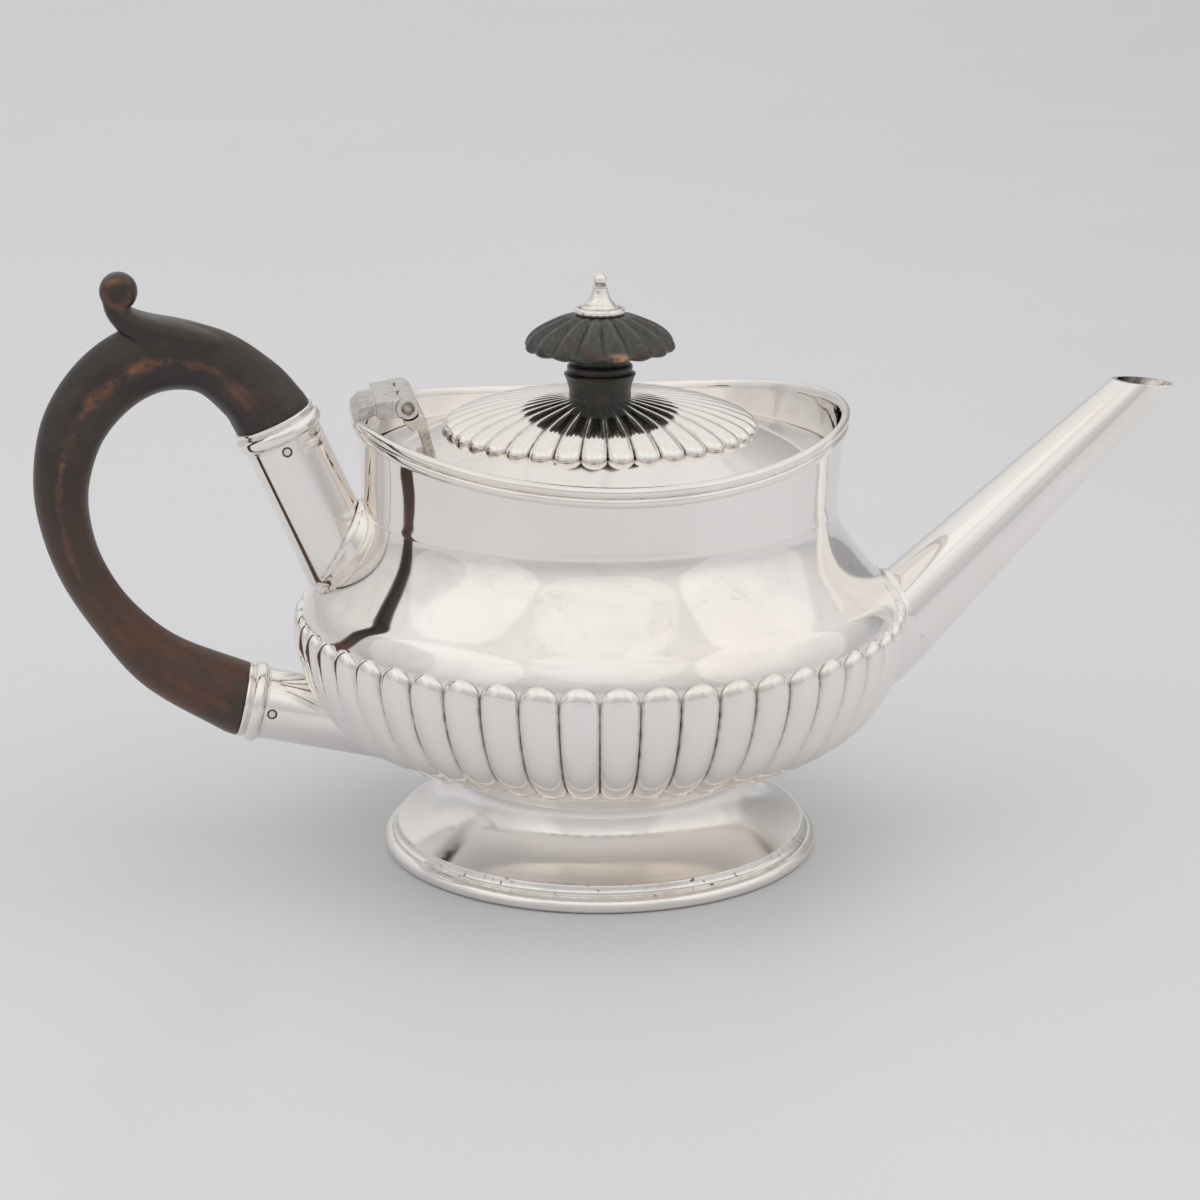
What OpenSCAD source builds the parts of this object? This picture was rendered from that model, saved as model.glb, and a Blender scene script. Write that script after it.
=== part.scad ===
// Footed silver teapot with lobed lower body, boat-shaped rim, hinged lid and wooden handle.
// Millimetres, +Z up, +X towards the spout, origin at the centre of the foot on the table.

/* [Overall] */
// radius of the belly at its widest
belly_r = 76; // [60:0.5:90]
// height of the shoulder seam, where the collar starts
seam_z = 87; // [70:0.5:100]
// sheet thickness of the body
wall = 1.2; // [0.8:0.1:2]

/* [Foot] */
// outside radius of the bead round the foot
foot_r = 54.3; // [45:0.1:60]
// radius of the bead section
bead_r = 1.8; // [1:0.1:3]
// height of the step above the bead
step_z = 5.9; // [4:0.1:9]
// radius of the short neck between foot and bowl
neck_r = 36.1; // [28:0.1:45]
// height of the underside of the bowl where it meets the neck
bowl_z = 20.6; // [15:0.1:28]

/* [Collar and rim] */
// outside radius of the collar at the seam
collar_r = 58; // [50:0.1:66]
// outward flare of the collar in mm per mm of height
flare = 0.064; // [0:0.001:0.1]
// sheet thickness of the collar
collar_t = 1.0; // [0.6:0.1:2]
// height of the rim at the middle of each side
rim_z = 104.7; // [95:0.1:115]
// extra height of the rim at the handle and spout ends
rim_rise = 7; // [3:0.1:12]
// height of the moulding under the rim
rim_h = 4.5; // [2:0.1:8]
// outside radius of the rim moulding
rim_r = 60.9; // [58:0.1:66]

/* [Lid] */
// radius of the lid plate
lid_r = 57.1; // [50:0.1:60]
// height of the top of the lid plate at its edge
lid_z = 99.9; // [92:0.1:106]
// radius of the fluted dome on the lid
dome_r = 38.6; // [30:0.1:45]
// height of the top of the dome
dome_z = 114; // [108:0.1:120]
// sheet thickness of the lid
lid_t = 0.9; // [0.6:0.1:2]
// radius of the ebony cap
cap_r = 18.4; // [12:0.1:24]
// radius of the stud through the knob
stud_r = 1.5; // [1:0.1:2.5]

/* [Hinge] */
// distance of the hinge line from the middle, towards the handle
hinge_x = 47.7; // [40:0.1:55]
// height of the hinge line
hinge_z = 114.4; // [108:0.1:118]
// outside radius of the knuckles
knuckle_r = 2.7; // [2:0.1:4]
// radius of the hinge pin
pin_r = 1.3; // [0.8:0.05:2]
// running clearance of the pin in the lid knuckles
pin_gap = 0.04; // [0.02:0.01:0.1]
// half length of the barrel
barrel_h = 12.5; // [8:0.1:18]
// gap between neighbouring knuckles
knuckle_gap = 0.25; // [0.1:0.05:0.5]

/* [Spout] */
// angle of the spout above the level
spout_a = 43.8; // [30:0.1:60]
// radius of the spout at the mitre on the body
spout_r0 = 11.1; // [8:0.1:15]
// radius of the spout at the tip
spout_r1 = 5.85; // [4:0.05:9]
// length of the spout axis from the mitre to the tip
spout_l = 81.8; // [60:0.1:110]
// sheet thickness of the spout
spout_t = 0.8; // [0.5:0.1:1.5]
// radius of the strainer holes in the body behind the spout
hole_r = 1.5; // [1:0.1:2.5]

/* [Handle and sockets] */
// radius of the upper socket tube
up_r = 9.65; // [7:0.05:12]
// angle of the upper socket below the level
up_a = 66.4; // [50:0.1:80]
// radius of the lower socket tube
lo_r = 8.75; // [7:0.05:12]
// angle of the lower socket below the level
lo_a = 12.7; // [0:0.1:30]
// sheet thickness of the sockets
sock_t = 0.9; // [0.5:0.1:1.5]
// depth of the handle tenons inside the sockets
tenon = 14; // [8:0.5:20]
// radius of the handle pins
peg_r = 1.3; // [0.8:0.05:2]
// distance of the upper pin from the start of its socket
upper_peg_s = 7.1; // [7:0.1:11]
// distance of the lower pin from the start of its socket
lower_peg_s = 7; // [7:0.1:11]

/* [Hidden] */
rim_arc = (rim_r * rim_r + rim_rise * rim_rise) / (2 * rim_rise);
M = [78.2, 56.7];
U0 = [-79.15, 110.65];
L0 = [-88.6, 40.4];
mitre_s = -64.7;
mitre_u = 60;
// node to show

function cone_out(z) = collar_r + flare * (z - seam_z);
function cone_in(z) = cone_out(z) - collar_t;

// outline of the body from the neck to the seam, outside
function body_out() = [[neck_r + 0.4, bowl_z], [40, bowl_z + 1.6], [46, 25], [52, 27.5], [58, 30],
    [62.5, 32.4], [66.5, 35.4], [70, 39.4], [73, 44.8], [75, 50.3], [belly_r, 55.5],
    [belly_r, 59.5], [74.7, 62.6], [71.6, 66.1], [68, 70], [64.6, 74.2], [61.6, 78.4],
    [59.5, 82], [58.3, 85], [collar_r, seam_z]];
function body_in() = [[collar_r - wall, seam_z], [57.1, 84.9], [58.3, 81.5], [60.4, 77.8],
    [63.5, 73.5], [66.9, 69.3], [70.5, 65.4], [73.5, 62], [belly_r - wall, 59.2],
    [belly_r - wall, 55.8], [73.8, 50.7], [71.9, 45.3], [68.9, 40.1], [65.6, 36.4],
    [61.8, 33.5], [57.5, 31.1], [51.5, 28.6], [45.5, 26.2], [39.6, 23.4], [36, bowl_z + wall]];

module rev(p) { rotate_extrude($fn = 180) polygon(p); }
module body_solid() { rev(concat([[0, bowl_z]], body_out(), [[0, seam_z]])); }
// large roller that cuts the boat curve; e makes it bigger
module roller(e) {
    translate([0, 0, rim_z + rim_arc]) rotate([90, 0, 0])
        cylinder(r = rim_arc + e, h = 200, center = true, $fn = 360);
}
// bar along the direction a degrees above the level from point p in the XZ plane
module along(p, a) { translate([p[0], 0, p[1]]) rotate([0, 90 - a, 0]) children(); }
// half space in front of the plane through p whose line lies at angle a
module half(p, a, side) {
    translate([p[0], 0, p[1]]) rotate([0, -a, 0]) translate([-100, -60, side > 0 ? 0 : -120]) cube([200, 120, 120]);
}

// ---- foot ----
module foot_rim() {
    color("silver") rotate_extrude($fn = 180) union() {
        translate([foot_r - bead_r, bead_r]) circle(r = bead_r, $fn = 48);
        polygon([[foot_r - 3.3, 0], [foot_r - bead_r, 0], [foot_r - 0.9, bead_r], [foot_r - bead_r, 3.6],
                 [foot_r - 3.1, 4.0], [foot_r - 3.6, step_z], [foot_r - 5.4, step_z], [foot_r - 5.4, 4.6], [foot_r - 4, 3]]);
    }
}
module foot_pedestal() {
    color("silver") rev([[foot_r - 4.1, step_z], [49.4, 6.4], [46, 7.3], [43, 8.5], [40.2, 10.4],
        [38.2, 12.4], [neck_r + 0.8, 14.4], [neck_r + 0.2, 16.5], [neck_r, 18.8], [neck_r + 0.4, bowl_z],
        [neck_r - 0.8, bowl_z], [neck_r - 1.1, 18.8], [neck_r - 0.9, 16.3], [neck_r - 0.3, 13.9],
        [37.2, 11.7], [39.4, 9.6], [42.4, 7.6], [45.6, 6.3], [foot_r - 5.4, step_z]]);
}

// ---- body ----
module strainer() {
    for (k = [0 : 6]) along([60, 54.6], 6.8) {
        rotate([0, 0, k * 60]) translate([k == 6 ? 0 : 4.6, 0, 0]) cylinder(r = hole_r, h = 24, $fn = 24);
    }
}
module body_bowl() {
    color("silver") difference() {
        rev(concat([[0, bowl_z]], body_out(), body_in(), [[0, bowl_z + wall]]));
        strainer();
    }
}
module neck_collar() {
    color("silver") difference() {
        rev([[cone_in(seam_z), seam_z], [cone_out(seam_z), seam_z], [cone_out(114), 114], [cone_in(114), 114]]);
        roller(1.0);
    }
}
module rim_moulding() {
    color("silver") difference() {
        union() {
            intersection() {
                rev([[cone_out(95), 95], [rim_r, 95], [rim_r, 114], [cone_out(114), 114]]);
                roller(rim_h);
            }
            intersection() {
                rev([[cone_in(95), 95], [rim_r, 95], [rim_r, 114], [cone_in(114), 114]]);
                roller(1.0);
            }
        }
        roller(0);
    }
}
module lid_seat() {
    color("silver") difference() {
        rev([[54.4, 97.8], [cone_in(97.2), 97.2], [cone_in(98.8), 98.8], [54.4, 98.8]]);
        translate([-80, -60, 90]) cube([38, 120, 20]);
    }
}

// ---- spout ----
module spout_cone(e, s0, s1) {
    k = (spout_r1 - spout_r0) / spout_l;
    along(M, spout_a) translate([0, 0, s0])
        cylinder(r1 = spout_r0 + k * s0 + e, r2 = spout_r0 + k * s1 + e, h = s1 - s0, $fn = 96);
}
module spout() {
    color("silver") intersection() {
        difference() {
            spout_cone(0, -8, spout_l + 12);
            spout_cone(-spout_t, -9, spout_l + 13);
            half([137.3, 113.2], -6, 1);
        }
        half(M, mitre_s, 1);
    }
}
module stub_bar(e) { along([40, M[1] - 38.2 * tan(6.8)], 6.8) cylinder(r = spout_r0 - 0.1 + e, h = 70, $fn = 96); }
module spout_stub() {
    color("silver") difference() {
        intersection() {
            union() { stub_bar(0); spout_cone(0, -34, 20); }
            half(M, mitre_s, -1);
        }
        body_solid();
        stub_bar(-spout_t);
        spout_cone(-spout_t, -35, 21);
        half([76.5, 37.5], 18, -1);
    }
}

// ---- sockets ----
module upper_socket() {
    color("silver") intersection() {
        along(U0, -up_a) difference() {
            translate([0, 0, 5.5]) cylinder(r = up_r, h = 44, $fn = 96);
            translate([0, 0, 5]) cylinder(r = up_r - sock_t, h = 46, $fn = 96);
            translate([0, 0, upper_peg_s]) rotate([90, 0, 0]) cylinder(r = peg_r, h = 30, center = true, $fn = 32);
        }
        half([-65.1, 79.1], mitre_u, 1);
    }
}
module upper_socket_stub() {
    color("silver") difference() {
        intersection() {
            along([-65.1, 79.1], 6.8) translate([0, 0, -12]) cylinder(r = up_r, h = 34, $fn = 96);
            half([-65.1, 79.1], mitre_u, -1);
        }
        along([-65.1, 79.1], 6.8) translate([0, 0, -13]) cylinder(r = up_r - sock_t, h = 36, $fn = 96);
        body_solid();
        rev([[0, seam_z - 1], [cone_out(seam_z - 1), seam_z - 1], [cone_out(110), 110], [0, 110]]);
    }
}
module upper_socket_collar() {
    color("silver") along(U0, -up_a) rev([[up_r - sock_t, 0], [9.9, 0], [10.1, 0.9], [9.8, 1.8],
        [10.2, 2.4], [10.8, 3.4], [10.8, 4.2], [10.2, 5], [9.9, 5.5], [up_r - sock_t, 5.5]]);
}
module lower_socket() {
    color("silver") difference() {
        along(L0, -lo_a) difference() {
            translate([0, 0, 5.5]) cylinder(r = lo_r, h = 33, $fn = 96);
            translate([0, 0, 5]) cylinder(r = lo_r - sock_t, h = 35, $fn = 96);
            translate([0, 0, lower_peg_s]) rotate([90, 0, 0]) cylinder(r = peg_r, h = 30, center = true, $fn = 32);
        }
        body_solid();
        half([-56, 23.5], 32, -1);
    }
}
module lower_socket_collar() {
    color("silver") along(L0, -lo_a) rev([[lo_r - sock_t, 0], [9.5, 0], [9.7, 0.9], [9.4, 1.8],
        [9.7, 2.4], [10.1, 3.4], [10.1, 4.2], [9.6, 5], [9.2, 5.5], [lo_r - sock_t, 5.5]]);
}

// ---- handle ----
// stations down the handle: x, z, half thickness, half width
ST = [[U0[0], U0[1], 9.5, 9.4], [-84.2, 117.6, 8.7, 8.9], [-94, 124.9, 8, 8.1], [-106.5, 126.2, 9, 7.6],
      [-117.4, 120.8, 8.4, 7.2], [-126, 110.2, 7.7, 7], [-129.7, 97.2, 6.9, 6.7], [-129.2, 85.5, 6.1, 6.4],
      [-125.5, 73.7, 5.7, 6.1], [-118.2, 61.9, 5.9, 6.2], [-107.1, 50.4, 7.5, 7], [L0[0], L0[1], 9.3, 9]];
function cr(a, b, c, d, t) = 0.5 * (2 * b + (c - a) * t + (2 * a - 5 * b + 4 * c - d) * t * t + (3 * b - a - 3 * c + d) * t * t * t);
function st(i) = i < 0 ? 2 * ST[0] - ST[1] : i >= len(ST) ? 2 * ST[len(ST) - 1] - ST[len(ST) - 2] : ST[i];
function at(u) = let (i = min(floor(u), len(ST) - 2), t = u - i) cr(st(i - 1), st(i), st(i + 1), st(i + 2), t);
HN = 33;
HK = 18;
function dirv(j) = j == 0 ? [-cos(up_a), sin(up_a)] : j == HN ? [cos(lo_a), -sin(lo_a)] :
    let (u = j * (len(ST) - 1) / HN, a = at(u - 0.02), b = at(u + 0.02), v = [b[0] - a[0], b[1] - a[1]]) v / norm(v);
module handle_bar() {
    pts = [for (j = [0 : HN]) let (u = j * (len(ST) - 1) / HN, p = at(u), d = dirv(j)) for (k = [0 : HK - 1])
        let (a = 360 * (k + 0.5) / HK) [p[0] + p[2] * cos(a) * d[1], p[3] * sin(a), p[1] - p[2] * cos(a) * d[0]]];
    side = [for (j = [0 : HN - 1]) for (k = [0 : HK - 1]) let (a = j * HK + k, b = j * HK + (k + 1) % HK)
        each [[a, a + HK, b + HK], [a, b + HK, b]]];
    polyhedron(points = pts, faces = concat([[for (k = [0 : HK - 1]) k]], side, [[for (k = [0 : HK - 1]) HN * HK + HK - 1 - k]]), convexity = 6);
}
module handle() {
    color("saddlebrown") difference() {
        union() {
            handle_bar();
            along(U0, -up_a) translate([0, 0, -2]) cylinder(r = up_r - sock_t, h = tenon + 2, $fn = 64);
            along(L0, -lo_a) translate([0, 0, -2]) cylinder(r = lo_r - sock_t, h = tenon + 2, $fn = 64);
            translate([-114.4, 0, 142.05]) sphere(r = 4.5, $fn = 32);
            along([-111, 132.5], 110) cylinder(r1 = 4.2, r2 = 3, h = 8, $fn = 32);
        }
        along(U0, -up_a) translate([0, 0, upper_peg_s]) rotate([90, 0, 0]) cylinder(r = peg_r, h = 30, center = true, $fn = 32);
        along(L0, -lo_a) translate([0, 0, lower_peg_s]) rotate([90, 0, 0]) cylinder(r = peg_r, h = 30, center = true, $fn = 32);
    }
}
module upper_peg() {
    color("silver") along(U0, -up_a) translate([0, 0, upper_peg_s]) rotate([90, 0, 0])
        cylinder(r = peg_r, h = 2 * up_r + 0.6, center = true, $fn = 32);
}
module lower_peg() {
    color("silver") along(L0, -lo_a) translate([0, 0, lower_peg_s]) rotate([90, 0, 0])
        cylinder(r = peg_r, h = 2 * lo_r + 0.6, center = true, $fn = 32);
}

// ---- hinge ----
seg = 2 * barrel_h / 5;
module knuckle(i, r) {
    translate([-hinge_x, -barrel_h + i * seg + (i == 0 ? 0 : knuckle_gap / 2), hinge_z]) rotate([-90, 0, 0])
        cylinder(r = r, h = seg - (i == 0 || i == 4 ? knuckle_gap / 2 : knuckle_gap), $fn = 48);
}
module line(r) { translate([-hinge_x, 0, hinge_z]) rotate([90, 0, 0]) cylinder(r = r, h = 40, center = true, $fn = 48); }
// bar across the lid with a given side outline
module bar(p, y0, y1) { translate([0, y1, 0]) rotate([90, 0, 0]) linear_extrude(y1 - y0) polygon(p); }
module hinge_fixed_leaf() {
    arm = [[-hinge_x, hinge_z + 0.6], [-hinge_x - 2, hinge_z + 1.1], [-55.4, hinge_z + 1.1], [-61, hinge_z - 2.6],
           [-61, hinge_z - 5.6], [-55.4, hinge_z - 2.6], [-hinge_x, hinge_z - 1.6]];
    color("silver") difference() {
        union() {
            difference() {
                bar(arm, -barrel_h, barrel_h);
                line(knuckle_r + 0.3);
            }
            for (i = [0, 2, 4]) {
                knuckle(i, knuckle_r);
                intersection() {
                    bar(arm, -barrel_h, barrel_h);
                    translate([-60, -barrel_h + i * seg + (i == 0 ? 0 : knuckle_gap / 2), 100])
                        cube([60 - hinge_x, seg - (i == 0 || i == 4 ? knuckle_gap / 2 : knuckle_gap), 20]);
                }
            }
        }
        line(pin_r);
        rev([[cone_in(100), 100], [75, 100], [75, 120], [cone_in(120), 120]]);
    }
}
module hinge_pin() {
    color("silver") translate([-hinge_x, 0, hinge_z]) rotate([90, 0, 0])
        cylinder(r = pin_r, h = 2 * barrel_h + 0.6, center = true, $fn = 48);
}
module lid_hinge_leaf() {
    block = [[-49.2, hinge_z - 3.1], [-49.2, hinge_z - 5.2], [-45.6, hinge_z - 6.6], [-44.6, 100], [-42.6, 100],
             [-42.6, hinge_z - 6.4], [-43.2, hinge_z - 2.2], [-45.4, hinge_z - 1.2]];
    color("silver") difference() {
        union() {
            difference() {
                bar(block, -barrel_h + 0.3, barrel_h - 0.3);
                line(knuckle_r + 0.3);
            }
            for (i = [1, 3]) {
                knuckle(i, knuckle_r);
                translate([-hinge_x - 1.2, -barrel_h + i * seg + knuckle_gap / 2, hinge_z - 4]) cube([4, seg - knuckle_gap, 4]);
            }
        }
        line(pin_r + pin_gap);
        rev(concat([[0, 80]], [[60, 80]], [[60, lid_z - 0.9]], lid_top(), [[0, 105.9]]));
    }
}

// ---- lid ----
function lid_top() = [[lid_r, lid_z], [52, lid_z + 1.5], [46, lid_z + 3.3], [40, lid_z + 5], [36, lid_z + 6]];
module lid_plate() {
    color("silver") rev(concat(lid_top(), [for (i = [4 : -1 : 0]) lid_top()[i] - [0, lid_t]]));
}
function dome_out() = [[dome_r, 105.29], [dome_r, 106.6], [36.8, 108.4], [33, 110.1], [28, 111.5], [22, 112.7], [15, 113.5], [9, dome_z], [0, dome_z]];
module dome_bore(z) { translate([0, 0, z]) cylinder(r = stud_r, h = 60, $fn = 48); }
module lid_dome() {
    color("silver") difference() {
        rev(concat(dome_out(), [[0, dome_z - lid_t], [9, 113.1], [15, 112.6], [22, 111.8], [28, 110.6], [33, 109.2], [36.2, 107.6], [37.6, 106.1], [37.6, 105.5]]));
        dome_bore(90);
        translate([0, 0, 0]) rev(concat([[0, 90]], [[60, 90]], [[60, lid_z - 0.9]], lid_top(), [[0, 105.9]]));
    }
}
module knob_neck() {
    color("black") difference() {
        rev([[0, dome_z], [8, dome_z], [7.6, 115], [7.4, 117.1], [8.7, 118.3], [8.7, 119.2], [7.7, 119.8],
             [7.7, 120.4], [7.95, 121], [7.7, 121.6], [7.2, 122.6], [7.6, 124.2], [0, 124.2]]);
        dome_bore(100);
    }
}
module knob_cap() {
    color("black") difference() {
        rev([[0, 124.2], [8.2, 124.2], [14, 124], [17.2, 124.6], [cap_r, 125.6], [18.2, 127], [16.6, 129.2], [13, 131.4],
             [9, 132.9], [6.4, 133.6], [0, 133.6]]);
        dome_bore(100);
    }
}
module finial_washer() {
    color("silver") difference() {
        rev([[0, 133.6], [6.15, 133.6], [6.15, 134.3], [5.6, 134.8], [4.4, 135.3], [3.6, 136.3], [0, 136.3]]);
        dome_bore(100);
    }
}
module finial_spire() {
    color("silver") union() {
        rev([[0, 136.3], [3.4, 136.3], [2.7, 137.5], [2.05, 139], [1.85, 140.4], [0.8, 140.6], [0.8, 141.4], [0, 141.4]]);
        translate([0, 0, 142.1]) sphere(r = 1.5, $fn = 32);
    }
}
module knob_stud() { color("silver") translate([0, 0, 110.4]) cylinder(r = stud_r, h = 136.3 - 110.4, $fn = 48); }
module knob_nut() {
    color("silver") difference() {
        translate([0, 0, 111]) cylinder(r = 4, h = dome_z - lid_t - 111, $fn = 48);
        dome_bore(100);
    }
}

foot_rim();
foot_pedestal();
body_bowl();
neck_collar();
rim_moulding();
lid_seat();
spout();
spout_stub();
upper_socket();
upper_socket_stub();
upper_socket_collar();
lower_socket();
lower_socket_collar();
handle();
upper_peg();
lower_peg();
hinge_fixed_leaf();
hinge_pin();
lid_plate();
lid_dome();
lid_hinge_leaf();
knob_neck();
knob_cap();
finial_washer();
finial_spire();
knob_stud();
knob_nut();
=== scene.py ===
"""Looks for the footed silver teapot: lobed bowl, reeded boat rim, fluted hinged lid, ebony knob, carved wooden handle.

Lengths in the shape code are millimetres in the CAD frame; meshes are written in metres.
"""
import math
import bmesh
import bpy
import numpy as np
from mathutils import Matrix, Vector


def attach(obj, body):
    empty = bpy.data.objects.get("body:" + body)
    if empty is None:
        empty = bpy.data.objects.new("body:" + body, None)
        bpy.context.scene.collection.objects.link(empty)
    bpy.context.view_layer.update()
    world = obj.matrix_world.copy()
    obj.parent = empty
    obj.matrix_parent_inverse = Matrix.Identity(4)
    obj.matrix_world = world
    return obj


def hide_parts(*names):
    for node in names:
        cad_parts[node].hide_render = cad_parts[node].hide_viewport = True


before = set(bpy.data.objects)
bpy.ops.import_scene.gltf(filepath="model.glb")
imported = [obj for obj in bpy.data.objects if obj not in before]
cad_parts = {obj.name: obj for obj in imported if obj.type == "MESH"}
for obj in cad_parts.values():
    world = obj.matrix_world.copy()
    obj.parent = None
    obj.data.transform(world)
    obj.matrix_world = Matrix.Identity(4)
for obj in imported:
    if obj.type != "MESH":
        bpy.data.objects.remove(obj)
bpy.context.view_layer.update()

MM = 0.001
PI = math.pi
CAMERA_AZ = math.radians(-98.25)  # bearing of the camera seen from the middle of the pot

# ------------------------------------------------------------------ shapes


def curve(points, step=0.5):
    """Catmull-Rom curve through points, one sample about every step."""
    p = np.array(points, float)
    e = np.vstack([2 * p[0] - p[1], p, 2 * p[-1] - p[-2]])
    out = []
    for i in range(len(p) - 1):
        a, b, c, d = e[i:i + 4]
        n = max(1, int(math.ceil(np.linalg.norm(c[:2] - b[:2]) / step)))
        t = (np.arange(n) / n)[:, None]
        out.append(0.5 * (2 * b + (c - a) * t + (2 * a - 5 * b + 4 * c - d) * t * t + (3 * b - a - 3 * c + d) * t ** 3))
    out.append(p[-1:])
    return np.vstack(out)


def step01(a, b, x):
    t = np.clip((x - a) / (b - a), 0, 1)
    return t * t * (3 - 2 * t)


def placed(p, a):
    """Maps local points to the bar frame that starts at (p, a degrees above level) in the XZ plane, local Z along the bar."""
    c, s = math.cos(math.radians(a)), math.sin(math.radians(a))

    def go(q):
        q = np.asarray(q, float)
        x, y, z = q[..., 0], q[..., 1], q[..., 2]
        return np.stack([p[0] + x * s + z * c, y, p[1] - x * c + z * s], -1)
    return go


def ring_faces(rows, cols, closed):
    r = np.arange(rows if closed else rows - 1)[:, None]
    c = np.arange(cols)[None, :]
    a, b = r * cols + c, r * cols + (c + 1) % cols
    n = (r + 1) % rows
    return np.stack([a, b, n * cols + (c + 1) % cols, n * cols + c], -1).reshape(-1, 4).tolist()


def piece(name, verts, faces, mat, body, slot, nodes=(), marks=None, sharp=40):
    me = bpy.data.meshes.new(name)
    me.from_pydata((np.asarray(verts) * MM).tolist(), [], faces)
    for key, val in (marks or {}).items():
        me.attributes.new(key, "FLOAT", "POINT").data.foreach_set("value", np.asarray(val, np.float32).ravel())
    bm = bmesh.new()
    bm.from_mesh(me)
    bmesh.ops.recalc_face_normals(bm, faces=bm.faces)
    bm.to_mesh(me)
    bm.free()
    me.shade_smooth()
    me.set_sharp_from_angle(angle=math.radians(sharp))
    me.materials.append(mat)
    ob = bpy.data.objects.new(name, me)
    bpy.context.scene.collection.objects.link(ob)
    if nodes:
        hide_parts(*nodes)
    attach(ob, body)
    return ob


def rings(name, grid, mat, body, slot, nodes=(), closed=False, caps=True, tarnish_and_shade=None, fleck=None, **k):
    """Piece from a grid of rings. closed joins the last ring to the first; otherwise both ends are capped."""
    grid = np.asarray(grid, float)
    rows, cols = grid.shape[:2]
    verts = grid.reshape(-1, 3)
    faces = ring_faces(rows, cols, closed)
    mark = np.zeros(rows * cols) if tarnish_and_shade is None else np.broadcast_to(tarnish_and_shade, (rows, cols)).ravel()
    spots = np.zeros(rows * cols) if fleck is None else np.broadcast_to(fleck, (rows, cols)).ravel()
    if not closed and caps:
        for first in (0, (rows - 1) * cols):
            mid = len(verts)
            verts = np.vstack([verts, verts[first:first + cols].mean(0)])
            mark, spots = np.append(mark, 0), np.append(spots, 0)
            faces += [(first + i, first + (i + 1) % cols, mid) for i in range(cols)]
    return piece(name, verts, faces, mat, body, slot, nodes, {"tarnish_and_shade": mark, "fleck": spots}, **k)


def turned(section, cols, go=None, phase=0.0):
    """Grid of rings from (radius, height) points turned about the axis."""
    s = np.asarray(section, float)
    th = phase + np.arange(cols) * 2 * PI / cols
    g = np.stack([s[:, :1] * np.cos(th), s[:, :1] * np.sin(th), np.repeat(s[:, 1:2], cols, 1)], -1)
    return go(g) if go else g


def solid(grid):
    """Closed shell from a grid of rings: vertices and faces."""
    rows, cols = grid.shape[:2]
    v = grid.reshape(-1, 3)
    f = ring_faces(rows, cols, False)
    return v, f + [tuple(range(cols)), tuple((rows - 1) * cols + i for i in range(cols))]


def carve(name, shells, voxel, smooth):
    """One skin round overlapping shells, softened like a worn casting or carving; returns the mesh and its points in mm."""
    verts, faces = np.zeros((0, 3)), []
    for g in shells:
        v, f = solid(g)
        faces += [tuple(i + len(verts) for i in q) for q in f]
        verts = np.vstack([verts, v])
    me = bpy.data.meshes.new(name)
    me.from_pydata((verts * MM).tolist(), [], faces)
    bm = bmesh.new()
    bm.from_mesh(me)
    bmesh.ops.recalc_face_normals(bm, faces=bm.faces)
    bm.to_mesh(me)
    bm.free()
    ob = bpy.data.objects.new(name, me)
    bpy.context.scene.collection.objects.link(ob)
    r = ob.modifiers.new("carve", "REMESH")
    r.mode, r.voxel_size, r.adaptivity = "VOXEL", voxel * MM, 0.0
    s = ob.modifiers.new("soften", "SMOOTH")
    s.factor, s.iterations = 0.5, smooth
    done = bpy.data.meshes.new_from_object(ob.evaluated_get(bpy.context.evaluated_depsgraph_get()))
    bpy.data.objects.remove(ob)
    done.name = name
    co = np.empty(len(done.vertices) * 3, np.float32)
    done.vertices.foreach_get("co", co)
    return done, co.reshape(-1, 3) / MM


def finish_piece(name, me, marks, mat, body, node):
    for key, val in marks.items():
        me.attributes.new(key, "FLOAT", "POINT").data.foreach_set("value", np.asarray(val, np.float32))
    me.shade_smooth()
    me.materials.clear()
    me.materials.append(mat)
    ob = bpy.data.objects.new(name, me)
    bpy.context.scene.collection.objects.link(ob)
    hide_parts(node)
    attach(ob, body)


# ------------------------------------------------------------------ materials


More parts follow.
